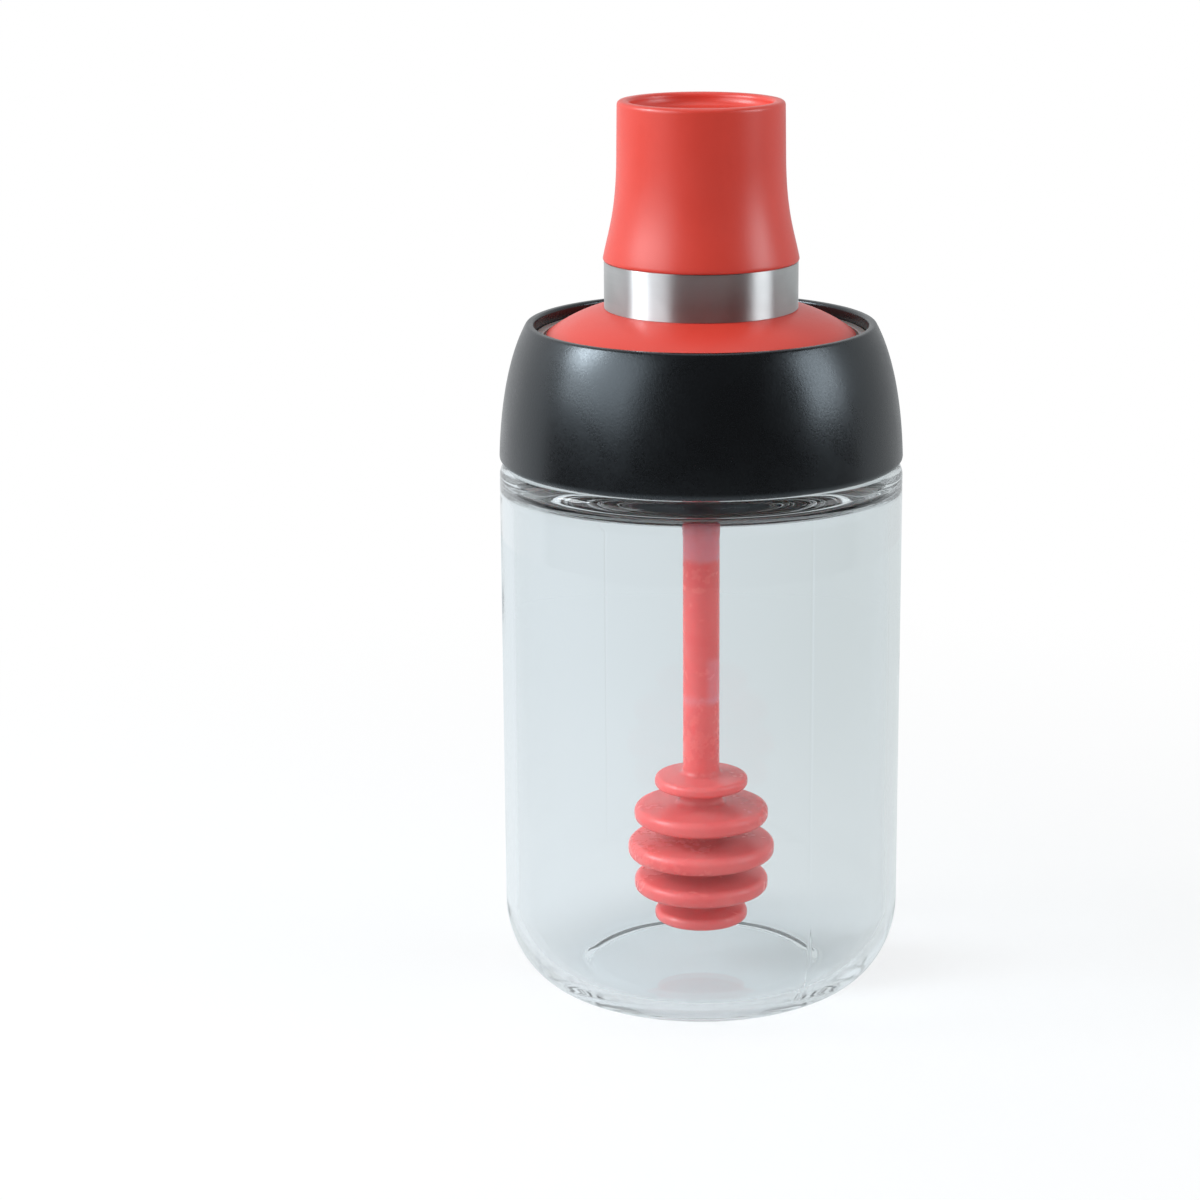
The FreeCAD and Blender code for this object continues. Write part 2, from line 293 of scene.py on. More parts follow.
def bend(start, corner, end):
    # a circular arc, or a quarter ellipse where the two legs differ
    weight = math.sin(0.5 * (start - corner).angle(end - corner))
    longest = max((start - corner).length, (end - corner).length)
    steps = round(longest * smoothing["stepsPerMm"])
    steps = min(max(steps, smoothing["fewestSteps"]), smoothing["mostSteps"])
    points = []
    for step in range(steps + 1):
        t = step / steps
        shares = ((1 - t) ** 2, 2 * weight * t * (1 - t), t ** 2)
        points.append((start * shares[0] + corner * shares[1] + end * shares[2]) / sum(shares))
    return points


def curve(start, startPull, endPull, end, steps):
    points = []
    for step in range(steps + 1):
        t = step / steps
        s = 1 - t
        point = start * s ** 3 + startPull * (3 * s * s * t)
        points.append(point + endPull * (3 * s * t * t) + end * t ** 3)
    return points


def straight(start, end, rows=0):
    # the points between two ends; a long plain run gets one point near each end to keep the shading flat
    if rows:
        return [start.lerp(end, step / rows) for step in range(1, rows)]
    length = (end - start).length
    if length < 4 * smoothing["edgeHold"]:
        return []
    hold = smoothing["edgeHold"] / length
    return [start.lerp(end, hold), start.lerp(end, 1 - hold)]


def closeUp(points):
    return points + straight(points[-1], points[0]) + [points[0].copy()]


def outline(corners, rows=None, closed=True):
    # straight runs through the corners; a third and fourth number round a corner off
    spots = [Vector(corner[:2]) for corner in corners]
    points = []
    for index, corner in enumerate(corners):
        before = corner[2] if len(corner) > 2 else 0
        after = corner[3] if len(corner) > 3 else before
        start = toward(spots[index], spots[index - 1], before)
        end = toward(spots[index], spots[(index + 1) % len(spots)], after)
        if points:
            points += straight(points[-1], start, (rows or {}).get(index, 0))
        points += bend(start, spots[index], end) if before else [start]
    return closeUp(points) if closed else points


def plainRing(node, inner, edge):
    low, high, outer = bottomOf(node), topOf(node), radiusOf(node)
    return outline([(inner, low, edge), (outer, low, edge), (outer, high, edge), (inner, high, edge)])


def runTree(name, tree, mesh, settings):
    # a carrier object runs the tree once, and only the plain mesh is kept
    carrier = addObject(name + "Outline", mesh)
    modifier = carrier.modifiers.new("grow", "NODES")
    modifier.node_group = tree
    sockets = {}
    for item in tree.interface.items_tree:
        if item.item_type == "SOCKET" and item.in_out == "INPUT":
            sockets[item.name] = item.identifier
    for label, value in settings.items():
        modifier[sockets[label]] = value
    bpy.context.view_layer.update()
    evaluated = carrier.evaluated_get(bpy.context.evaluated_depsgraph_get())
    grown = bpy.data.meshes.new_from_object(evaluated)
    bpy.data.objects.remove(carrier)
    return grown


def turnedMesh(name, points, material, settings, shares=None):
    mesh = bpy.data.meshes.new(name)
    mesh.from_pydata([(point.x * mm, 0, point.y * mm) for point in points], [], [])
    for label in ("seam", "ridge"):
        layer = mesh.attributes.new(label, "FLOAT", "POINT")
        test = (shares or {}).get(label)
        layer.data.foreach_set("value", [float(test(point)) if test else 0.0 for point in points])
    return runTree(name, turnedBody, mesh, {"Material": material, **settings})


def faceOutward(mesh):
    solid = bmesh.new()
    solid.from_mesh(mesh)
    bmesh.ops.recalc_face_normals(solid, faces=solid.faces)
    solid.to_mesh(mesh)
    solid.free()


def makeRib(name, corners, width):
    # a flat upright rib along +X
    mesh = bpy.data.meshes.new(name)
    sides = []
    for side in (-1, 1):
        sides += [(radius * mm, side * width / 2 * mm, height * mm) for radius, height in corners]
    count = len(corners)
    faces = [list(range(count)), list(range(count, 2 * count))[::-1]]
    for index in range(count):
        after = (index + 1) % count
        faces.append([after, index, count + index, count + after])
    mesh.from_pydata(sides, [], faces)
    faceOutward(mesh)
    return addObject(name, mesh)


def withRibs(name, mesh, corners, size, material):
    rib = makeRib(name + "Rib", corners, size["ribWidth"])
    whole = runTree(name, ribbedBody, mesh, {"Rib": rib, "Count": size["ribs"], "Material": material})
    bpy.data.objects.remove(rib)
    return whole


def finishPiece(name, mesh, body, node):
    faceOutward(mesh)
    mesh.name = name
    mesh.polygons.foreach_set("use_smooth", [True] * len(mesh.polygons))
    mesh.set_sharp_from_angle(angle=math.radians(smoothing["sharpDegrees"]))
    piece = addObject(name, mesh)
    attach(piece, body)
    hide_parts(node)
    print(f"{name}: {len(mesh.polygons)} faces")


def turnedPiece(name, points, body, slot, node, size, settings=None, shares=None, rib=None):
    settings = {"Segments": size["segments"], **(settings or {})}
    mesh = turnedMesh(name, points, finishes[slot], settings, shares)
    if rib:
        mesh = withRibs(name, mesh, rib, size, finishes[slot])
    finishPiece(name, mesh, body, node)


# shader node groups that several finishes share
midBand = (0.3, 0.7)  # where most of a noise's values lie
speckBand = (0.35, 0.65)
smudgeBand = (0.35, 0.7)
grainShare = (0.75, 1.0)  # the grain's strength, from patch to patch


def makeFineGrain():
    # the fine pebble that a spark-eroded mould leaves on plastic
    tree, given, result = newTree("fineGrain", "ShaderNodeTree", {
        "Grain Size": 0.0004,
        "Patch Size": 0.006,
    }, {"Height": "Float", "Speck": "Float"})
    spot = objectSpot(tree)
    grain = noise(tree, spot, given["Grain Size"], {"Detail": 2.0, "Roughness": 0.55})
    patch = noise(tree, spot, given["Patch Size"], {"Detail": 1.0})
    strength = ramp(tree, patch, *midBand, *grainShare)
    link(tree, times(tree, grain, strength), result["Height"])
    link(tree, ramp(tree, grain, *speckBand), result["Speck"])
    return tree


def makeHandlingMarks():
    # soft smudges, read as a change of roughness
    tree, given, result = newTree("handlingMarks", "ShaderNodeTree", {
        "Mark Size": 0.02,
        "Roughness": 0.3,
        "Spread": 0.05,
    }, {"Roughness": "Float"})
    fractal = {"Detail": 4.0, "Roughness": 0.6, "Distortion": 0.6}
    smudge = noise(tree, objectSpot(tree), given["Mark Size"], fractal)
    mark = ramp(tree, smudge, *smudgeBand, smooth=True)
    shift = times(tree, calc(tree, "SUBTRACT", mark, 0.5), given["Spread"])
    link(tree, calc(tree, "ADD", given["Roughness"], shift), result["Roughness"])
    return tree


def makeMouldedTone():
    # colour that drifts a little, as pigment does where plastic or glass flowed in the mould
    tree, given, result = newTree("mouldedTone", "ShaderNodeTree", {
        "Tone": (1, 1, 1, 1),
        "Deep Tone": (0.9, 0.9, 0.9, 1),
        "Flow Size": 0.03,
    }, {"Tone": "Color"})
    flow = noise(tree, objectSpot(tree), given["Flow Size"], {"Detail": 3.0, "Distortion": 1.0})
    tone = mixTones(tree, ramp(tree, flow, *midBand), given["Tone"], given["Deep Tone"])
    link(tree, tone, result["Tone"])
    return tree


def makeRoundLines():
    # fine lines that run round the axis, as brushing on a lathe leaves them
    tree, given, result = newTree("roundLines", "ShaderNodeTree", {
        "Line Width": 0.00008,
        "Line Length": 0.012,
    }, {"Height": "Float", "Line": "Float"})
    long = calc(tree, "DIVIDE", 1.0, given["Line Length"])
    fine = calc(tree, "DIVIDE", 1.0, given["Line Width"])
    stretch = addNode(tree, "ShaderNodeCombineXYZ", {"X": long, "Y": long, "Z": fine}).outputs["Vector"]
    both = {0: objectSpot(tree), 1: stretch}
    stretched = addNode(tree, "ShaderNodeVectorMath", both, operation="MULTIPLY").outputs["Vector"]
    lines = noise(tree, stretched, 1.0, {"Detail": 3.0, "Roughness": 0.7})
    link(tree, lines, result["Height"])
    link(tree, ramp(tree, lines, *midBand), result["Line"])
    return tree


fineGrain = makeFineGrain()
handlingMarks = makeHandlingMarks()
mouldedTone = makeMouldedTone()
roundLines = makeRoundLines()
print("shader groups: made")


def newMaterial(name):
    material = bpy.data.materials.new(name)
    material.use_nodes = True
    material.node_tree.nodes.clear()
    return material, material.node_tree


def showSurface(tree, shader):
    addNode(tree, "ShaderNodeOutputMaterial", {"Surface": shader})


def placeGroup(tree, group, inputs):
    return addNode(tree, "ShaderNodeGroup", inputs, node_tree=group).outputs


def paintedBase(tree, finish, roughness, height, depth):
    # the Principled shader with the parts that every finish here has
    tone = placeGroup(tree, mouldedTone, {
        "Tone": (*finish["tone"], 1),
        "Deep Tone": (*finish["deepTone"], 1),
        "Flow Size": finish["flowSize"],
    })
    bump = addNode(tree, "ShaderNodeBump", {"Height": height, "Strength": 1.0, "Distance": depth})
    inputs = {"Base Color": tone["Tone"], "Roughness": roughness, "Normal": bump.outputs["Normal"]}
    return addNode(tree, "ShaderNodeBsdfPrincipled", {**inputs, **finish["shader"]})


def markedRoughness(tree, finish):
    marks = placeGroup(tree, handlingMarks, {
        "Mark Size": finish["markSize"], "Roughness": finish["roughness"], "Spread": finish["spread"],
    })
    return marks["Roughness"]


def withPaleBandsAndPaintedReflection(tree, shader, finish):
    # zones between two heights, and past a line at one side where wanted, in which the colour is painted
    # paler; the one-sided zone is a painted reflection
    whole = shader.inputs["Base Color"].links[0].from_socket
    spot = objectSpot(tree)
    cloud = noise(tree, spot, finish["patchSize"], {"Detail": 3.0})
    parts = partsOf(tree, spot)
    edge = finish["zoneEdge"]
    height = calc(tree, "MULTIPLY_ADD", cloud, edge, parts["Z"])
    share = 0.0
    for low, high, side, most in finish["paleBandsAndPaintedReflection"]:
        rise = ramp(tree, height, low, low + edge, smooth=True)
        fall = ramp(tree, height, high, high + edge, 1.0, 0.0, smooth=True)
        across = ramp(tree, parts["X"], side, side + edge, 0.0, most, smooth=True)
        share = calc(tree, "ADD", share, times(tree, rise, fall, across))
    share = calc(tree, "MINIMUM", share, ramp(tree, cloud, *finish["zoneCloud"]))
    pale = mixTones(tree, share, whole, (*finish["paleAndReflectionTone"], 1))
    link(tree, pale, shader.inputs["Base Color"])


def mouldedPlastic(name, finish):
    material, tree = newMaterial(name)
    grain = placeGroup(tree, fineGrain, {
        "Grain Size": finish["grainSize"], "Patch Size": finish["patchSize"],
    })
    speck = times(tree, grain["Speck"], finish["speckGloss"])
    roughness = calc(tree, "ADD", markedRoughness(tree, finish), speck)
    shader = paintedBase(tree, finish, roughness, grain["Height"], finish["grainDepth"])
    if "paleBandsAndPaintedReflection" in finish:
        withPaleBandsAndPaintedReflection(tree, shader, finish)
    showSurface(tree, shader.outputs["BSDF"])
    return material


plasticFinish = {
    "flowSize": 0.03,
    "grainSize": 0.0004,
    "grainDepth": 0.000012,
    "patchSize": 0.006,
    "markSize": 0.02,
    "spread": 0.08,
    "speckGloss": 0.04,
}
coralFinish = {
    **plasticFinish,
    "tone": (0.660, 0.043, 0.024),
    "deepTone": (0.620, 0.038, 0.021),
    "grainSize": 0.00035,
    "roughness": 0.37,
    "spread": 0.06,
    "shader": {
        "IOR": 1.49, "Specular IOR Level": 0.7, "Subsurface Weight": 0.05, "Subsurface Scale": 0.001,
    },
}
blackFinish = {
    **plasticFinish,
    "tone": (0.0024, 0.0026, 0.0032),
    "deepTone": (0.0019, 0.0021, 0.0026),
    "grainDepth": 0.000016,
    "markSize": 0.018,
    "roughness": 0.27,
    "spread": 0.07,
    "speckGloss": 0.05,
    "shader": {"IOR": 1.5, "Specular IOR Level": 0.60, "Specular Tint": (0.82, 0.92, 1.0, 1)},
}
naturalFinish = {
    **plasticFinish,
    "tone": (0.42, 0.37, 0.35),
    "deepTone": (0.36, 0.31, 0.29),
    "flowSize": 0.02,
    "grainSize": 0.0008,
    "grainDepth": 0.000008,
    "markSize": 0.015,
    "roughness": 0.32,
    "speckGloss": 0.03,
    "shader": {"IOR": 1.49, "Subsurface Weight": 0.3, "Subsurface Scale": 0.002},
}
siliconeFinish = {
    **plasticFinish,
    "tone": (0.60, 0.59, 0.57),
    "deepTone": (0.54, 0.53, 0.51),
    "flowSize": 0.015,
    "grainSize": 0.0003,
    "grainDepth": 0.000014,
    "patchSize": 0.004,
    "markSize": 0.01,
    "roughness": 0.55,
    "spread": 0.1,
    "shader": {"IOR": 1.41, "Subsurface Weight": 0.25, "Subsurface Scale": 0.001},
}
# the dipper is translucent; its colour is paler on the stem from 73.8 mm up and in a thin band at 49 to
# 50 mm, and a painted reflection of a window lies on the stem's +X side from 49.5 to 56.8 mm
dipperFinish = {
    **plasticFinish,
    "tone": (0.712, 0.150, 0.143),
    "deepTone": (0.682, 0.112, 0.108),
    "paleAndReflectionTone": (0.660, 0.235, 0.265),
    "zoneEdge": 0.0014,
    "zoneCloud": (0.3, 0.6, 0.8, 1.0),
    "paleBandsAndPaintedReflection": [  # low end, high end, where it starts along X, how pale
        (0.0738, 0.1100, -1.0, 1.0),
        (0.0490, 0.0502, -1.0, 0.5),
        # a painted reflection of a window, on the stem's +X side
        (0.0495, 0.0568, 0.0004, 0.6),
    ],
    "flowSize": 0.010,
    "grainSize": 0.0012,
    "grainDepth": 0.00001,
    "patchSize": 0.003,
    "markSize": 0.012,
    "roughness": 0.24,
    "speckGloss": 0.03,
    "shader": {
        "IOR": 1.42,
        "Subsurface Weight": 0.9,
        "Subsurface Scale": 0.008,
        "Subsurface Radius": (1.0, 0.25, 0.24),
    },
}
steelFinish = {
    "tone": (0.66, 0.67, 0.67),
    "deepTone": (0.60, 0.605, 0.60),
    "flowSize": 0.01,
    "lineWidth": 0.00012,
    "lineLength": 0.02,
    "lineDepth": 0.0000020,
    "markSize": 0.008,
    "roughness": 0.42,
    "spread": 0.05,
    "lineGloss": 0.10,
    "shader": {"Metallic": 1.0, "Anisotropic": 1.0, "Anisotropic Rotation": 0.25},
}


def makeBrushedSteel(finish):
    material, tree = newMaterial("brushedSteel")
    lines = placeGroup(tree, roundLines, {
        "Line Width": finish["lineWidth"], "Line Length": finish["lineLength"],
    })
    gloss = times(tree, lines["Line"], finish["lineGloss"])
    roughness = calc(tree, "ADD", markedRoughness(tree, finish), gloss)
    shader = paintedBase(tree, finish, roughness, lines["Height"], finish["lineDepth"])
    around = addNode(tree, "ShaderNodeTangent", direction_type="RADIAL", axis="Z")
    link(tree, around.outputs["Tangent"], shader.inputs["Tangent"])
    showSurface(tree, shader.outputs["BSDF"])
    return material


glassFinish = {
    "tone": (0.935, 0.948, 0.952),
    "deepTone": (0.925, 0.940, 0.946),
    "flowSize": 0.05,
    "waveSize": 0.022,
    "waveDepth": 0.00006,
    "markSize": 0.03,
    "roughness": 0.0,
    "spread": 0.012,
    "shader": {"IOR": 1.5, "Transmission Weight": 1.0, "Specular Tint": (0.4, 0.4, 0.4, 1)},
    "shadowTone": (0.87, 0.89, 0.90, 1),
}


def makeClearGlass(finish):
    material, tree = newMaterial("clearGlass")
    waves = noise(tree, objectSpot(tree), finish["waveSize"], {"Detail": 1.0, "Roughness": 0.4})
    roughness = calc(tree, "MAXIMUM", markedRoughness(tree, finish), 0.0)
    shader = paintedBase(tree, finish, roughness, waves, finish["waveDepth"])
    # light for shadows passes straight through, so what stands inside is lit
    clear = addNode(tree, "ShaderNodeBsdfTransparent", {"Color": finish["shadowTone"]})
    light = addNode(tree, "ShaderNodeLightPath").outputs["Is Shadow Ray"]
    both = mixShaders(tree, light, shader.outputs["BSDF"], clear.outputs["BSDF"])
    showSurface(tree, both)
    return material


finishes = {
    "coral_plastic": mouldedPlastic("coralPlastic", coralFinish),
    "black_plastic": mouldedPlastic("blackPlastic", blackFinish),
    "natural_plastic": mouldedPlastic("naturalPlastic", naturalFinish),
    "soft_seal": mouldedPlastic("softSilicone", siliconeFinish),
    "coral_dipper": mouldedPlastic("dipperPlastic", dipperFinish),
    "brushed_steel": makeBrushedSteel(steelFinish),
    "clear_glass": makeClearGlass(glassFinish),
}
print("finishes: made")

# the glass jar: even walls, a deep quarter-ellipse heel, a shallow push-up and a threaded neck
jarSize = {
    "bodyHeight": 90.7,
    "wall": 2.0,
    "base": 2.8,
    "heelWidth": 11.95,
    "heelHeight": 14.6,
    "innerHeelWidth": 9.95,
    "innerHeelHeight": 11.8,
    "footWidth": 0.9,
    "footCorner": 0.4,
    "pushUp": 0.6,
    "pushUpFlat": 19.0,
    "pushUpCorner": 0.8,
    "shoulderCorner": 2.2,
    "shoulderThickness": 2.6,
    "innerShoulderCorner": 3.0,
    "mouthCorner": 1.2,
    "neckRadius": 27.4,
    "neckWall": 2.5,
    "neckRootCorner": 1.0,
    "lipCorner": 0.9,
    "neckRows": 72,
    "segments": 400,
    "seamDegrees": -58.0,
    "seamCrowding": 0.7,
    "seamHeight": 0.07,
    "seamHalfWidth": 0.32,
    "seamLow": 4.0,
    "seamHigh": 88.5,
    "seamFade": 3.0,
    "seamMargin": 0.5,   # the seam is outside only: not within this of the inner wall,
    "seamFloor": 4.0,    # from this height above the inside floor
    "sideRows": 14,
}
threadSize = {
    "pitch": 5.0,
    "height": 1.0,
    "rootHalf": 1.35,
    "crestHalf": 0.6,
    "lift": 4.8,
    "turns": 1.25,
    "fadeDegrees": 30,
}


def ridgeSettings(thread, height, rootHalf, crestHalf, start, turns, lead=0.0):
    return {
        "Ridge Height": height * mm,
        "Ridge Root": rootHalf * mm,
        "Ridge Crest": crestHalf * mm,
        "Ridge Pitch": thread["pitch"] * mm,
        "Ridge Start": start * mm,
        "Ridge Lead": lead,
        "Ridge Sweep": turns * fullTurn,
        "Ridge Fade": math.radians(thread["fadeDegrees"]),
    }


def makeJar(size, thread):
    radius = radiusOf("jar")
    lip = topOf("jar")
    inner = radius - size["wall"]
    neck = size["neckRadius"]
    bore = neck - size["neckWall"]
    ceiling = size["bodyHeight"] - size["shoulderThickness"]
    points = outline([
        (0, size["pushUp"]),
        (size["pushUpFlat"], size["pushUp"], size["pushUpCorner"]),
        (radius - size["heelWidth"] - size["footWidth"], 0, size["footCorner"]),
        (radius, 0, size["heelWidth"], size["heelHeight"]),
        (radius, size["bodyHeight"], size["shoulderCorner"]),
        (neck, size["bodyHeight"], size["neckRootCorner"]),
        (neck, lip, size["lipCorner"]),
        (bore, lip, size["lipCorner"]),
        (bore, ceiling, size["mouthCorner"]),
        (inner, ceiling, size["innerShoulderCorner"]),
        (inner, size["base"], size["innerHeelHeight"], size["innerHeelWidth"]),
        (0, size["base"]),
    ], rows={4: size["sideRows"], 6: size["neckRows"]}, closed=False)

    def onSeam(point):
        inside = point.x < inner + size["seamMargin"] and point.y > size["base"] + size["seamFloor"]
        if inside or point.x < radius - size["heelWidth"]:
            return 0
        fromEnd = min(point.y - size["seamLow"], size["seamHigh"] - point.y)
        return min(max(fromEnd / size["seamFade"], 0), 1)

    def onNeck(point):
        return abs(point.x - neck) < nearly and point.y < lip - size["lipCorner"] - nearly

    start = size["bodyHeight"] + thread["lift"]
    halves = thread["rootHalf"], thread["crestHalf"]
    turnedPiece("glassJar", points, "jar", "clear_glass", "jar", size, {
        "Seam Angle": math.radians(size["seamDegrees"]),
        "Seam Crowding": size["seamCrowding"],
        "Seam Height": size["seamHeight"] * mm,
        "Seam Half Angle": size["seamHalfWidth"] / radius,
        **ridgeSettings(thread, thread["height"], *halves, start, thread["turns"]),
    }, {"seam": onSeam, "ridge": onNeck})


makeJar(jarSize, threadSize)

# the silicone ring that the collar clamps on the lip
gasketSize = {"edge": 0.25, "insideStep": 0.15, "segments": 192}


def makeGasket(size):
    inner = jarSize["neckRadius"] - jarSize["neckWall"] + size["insideStep"]
    points = plainRing("neck_gasket", inner, size["edge"])
    turnedPiece("neckGasketRing", points, "gasket", "soft_seal", "neck_gasket", size)


makeGasket(gasketSize)

# the collar: a barrel-shaped shell that snaps over a ribbed thread insert
shellSize = {
    "wall": 1.6,
    "footCorner": 0.8,
    "rimRadius": 28.75,
    "rimWall": 1.25,
    "rimCorner": 0.5,
    "footPull": 8.0,
    "footLean": 0.2,
    "rimPull": 5.7,
    "rimLean": 3.25,
    "rimRise": 2.5,
    "beadLow": 92.0,
    "beadHigh": 93.4,
    "beadHeight": 0.5,
    "beadTip": 0.1,
    "rimEdge": 0.3,
    "footEdge": 0.02,
    "sideSteps": 40,
    "segments": 288,
}
insertSize = {
    "bore": 23.5,
    "tubeRadius": 24.7,
    "tubeBottom": 104.5,
    "tubeLead": 0.4,
    "skirtBore": 28.7,
    "skirtRadius": 30.1,
    "skirtBottom": 92.5,
    "skirtRows": 64,
    "webBottom": 109.0,
    "lipOuter": 27.4,
    "lipInner": 25.95,
    "lipCorner": 0.2,
    "gap": 0.1,
    "ribs": 24,
    "ribWidth": 1.2,
    "ribBottom": 93.5,
    "ribRoot": 29.4,
    "ribSkip": 4,        # the rib follows every fourth point of the shell's side
    "ribSink": 0.5,
    "ridgeMargin": 0.3,
    "ridgeHeight": 0.95,
    "ridgeRootHalf": 1.05,
    "ridgeCrestHalf": 0.45,
    "ridgeDrop": 1.92,
    "ridgeLeadDegrees": 60,
    "ridgeTurns": 0.944,
    "segments": 288,
}


def shellSide(size, inset):
    foot = Vector((radiusOf("collar_shell") - inset, bottomOf("collar_shell")))
    rim = Vector((size["rimRadius"] - inset, topOf("collar_shell")))
    return curve(
        foot,
        foot + Vector((-size["footLean"], size["footPull"])),
        rim + Vector((size["rimLean"], -size["rimPull"])),
        rim,
        size["sideSteps"],
    )


def sideAt(side, height):
    # the point where a side curve passes a height
    for before, after in zip(side, side[1:]):
        if before.y <= height <= after.y:
            return before.lerp(after, (height - before.y) / (after.y - before.y))
    return side[-1].copy()


endGap = 0.05  # millimetres left free of other points beside each end


def sideBetween(side, low, high):
    inside = [point for point in side if low + endGap < point.y < high - endGap]
    return [sideAt(side, low)] + inside + [sideAt(side, high)]


def makeShell(size):
    low, high = bottomOf("collar_shell"), topOf("collar_shell")
    ledge = high - size["rimRise"]
    bore = size["rimRadius"] - size["rimWall"]
    outer = sideBetween(shellSide(size, 0), low + size["footCorner"], high - size["rimEdge"])
    inner = sideBetween(shellSide(size, size["wall"]), size["beadHigh"], ledge)
    wall = inner[0].x
    footStart = Vector((outer[0].x - size["footCorner"], low))
    points = bend(footStart, Vector((outer[0].x + size["footEdge"], low)), outer[0])
    points += outer[1:-1]
    rim = Vector((size["rimRadius"], high))
    mouth = Vector((bore, high))
    corner = size["rimCorner"]
    points += bend(outer[-1], rim, rim + Vector((-size["rimEdge"], 0)))
    points += bend(mouth + Vector((corner, 0)), mouth, mouth - Vector((0, corner)))
    points += straight(points[-1], Vector((bore, ledge))) + [Vector((bore, ledge))]
    points += inner[::-1]
    points += [
        Vector((wall - size["beadHeight"], size["beadHigh"] - size["beadTip"])),
        Vector((wall - size["beadHeight"], size["beadLow"] + size["beadHeight"])),
        Vector((wall, size["beadLow"])),
        Vector((wall, low)),
        points[0].copy(),
    ]
    turnedPiece("collarShell", points, "collar", "black_plastic", "collar_shell", size)


def makeInsert(size, shell, thread):
    seat = topOf("collar_shell") - shell["rimRise"]
    web = size["webBottom"]
    barrel = shellSide(shell, shell["wall"] + size["gap"])
    webSide = sideBetween(barrel, web, seat)
    tube, chamfer, skirt = size["tubeBottom"], size["tubeLead"], size["skirtBottom"]
    points = outline([
        (size["bore"], tube, chamfer),
        (size["tubeRadius"], tube, chamfer),
        (size["tubeRadius"], web),
        (size["skirtBore"], web),
        (size["skirtBore"], skirt),
        (size["skirtRadius"], skirt),
        (size["skirtRadius"], web),
    ], rows={4: size["skirtRows"]}, closed=False)
    points += webSide
    top, corner = topOf("thread_insert"), size["lipCorner"]
    points += outline([
        (size["lipOuter"], seat),
        (size["lipOuter"], top, corner),
        (size["lipInner"], top, corner),
        (size["lipInner"], seat),
        (size["bore"], seat),
    ], closed=False)
    points = closeUp(points)

    def onSkirt(point):
        low, high = skirt + size["ridgeMargin"], web - size["ridgeMargin"]
        return abs(point.x - size["skirtBore"]) < nearly and low < point.y < high

    lead = math.radians(size["ridgeLeadDegrees"])
    climb = thread["pitch"] * lead / fullTurn
    start = jarSize["bodyHeight"] + thread["lift"] + climb - size["ridgeDrop"]
    halves = size["ridgeRootHalf"], size["ridgeCrestHalf"]
    ridge = ridgeSettings(thread, -size["ridgeHeight"], *halves, start, size["ridgeTurns"], lead)
    side = sideBetween(barrel, size["ribBottom"], web + size["ribSink"])[::size["ribSkip"]]
    side = [(point.x, point.y) for point in side]
    rib = [(size["ribRoot"], size["ribBottom"]), *side, (size["ribRoot"], side[-1][1])]
    slot, node = "natural_plastic", "thread_insert"
    turnedPiece("threadInsertRing", points, "collar", slot, node, size, ridge, {"ridge": onSkirt}, rib)


makeShell(shellSize)
makeInsert(insertSize, shellSize, threadSize)

# the lid: a shallow dome whose skirt plugs the collar, with a finned silicone seal round it
domeSize = {
    "edgeRadius": 25.55,
    "edgeHeight": 0.6,
    "edgeCorner": 0.25,
    "rise": 5.0,
    "bulge": 0.4,
    "wall": 1.9,
    "innerFall": 1.7,
    "shelf": 0.3,
    "bore": 21.15,
    "spigotRadius": 15.4,
    "spigotBore": 13.8,
    "spigotEdge": 0.2,
    "archSteps": 24,
    "segments": 256,
}
plugSize = {
    "bore": 20.2,
    "lipRadius": 21.1,
    "grooveRadius": 21.3,
    "grooveLow": 105.0,
    "grooveHigh": 108.4,
    "edge": 0.2,
    "segments": 224,
}
sealSize = {
    "body": 1.0,
    "finThickness": 0.7,
    "finDroop": 0.35,
    "finEdge": 0.12,
    "inner": 21.35,
    "segments": 224,
}
holderSize = {
    "plateRadius": 22.2,
    "plateTop": 104.0,
    "plateThickness": 1.6,
    "ringRadius": 20.15,
    "ringBore": 18.85,
    "ringTop": 107.0,
    "socketBore": 3.15,
    "socketRadius": 5.05,
    "socketDepth": 9.4,
    "edge": 0.2,
    "ribs": 6,
    "ribWidth": 1.3,
    "ribTop": 106.2,
    "ribSink": 0.4,
    "segments": 224,
}


def arch(start, middle, end, steps):
    # the circular arc through three points
    ax, ay = start
    bx, by = middle
    cx, cy = end
    scale = 2 * (ax * (by - cy) + bx * (cy - ay) + cx * (ay - by))
    sums = [ax * ax + ay * ay, bx * bx + by * by, cx * cx + cy * cy]
    hub = Vector((
        (sums[0] * (by - cy) + sums[1] * (cy - ay) + sums[2] * (ay - by)) / scale,
        (sums[0] * (cx - bx) + sums[1] * (ax - cx) + sums[2] * (bx - ax)) / scale,
    ))
    first = math.atan2(ay - hub.y, ax - hub.x)
    last = math.atan2(cy - hub.y, cx - hub.x)
    reach = (start - hub).length
    points = []
    for step in range(steps + 1):
        turn = first + (last - first) * step / steps
        points.append(hub + Vector((math.cos(turn), math.sin(turn))) * reach)
    return points


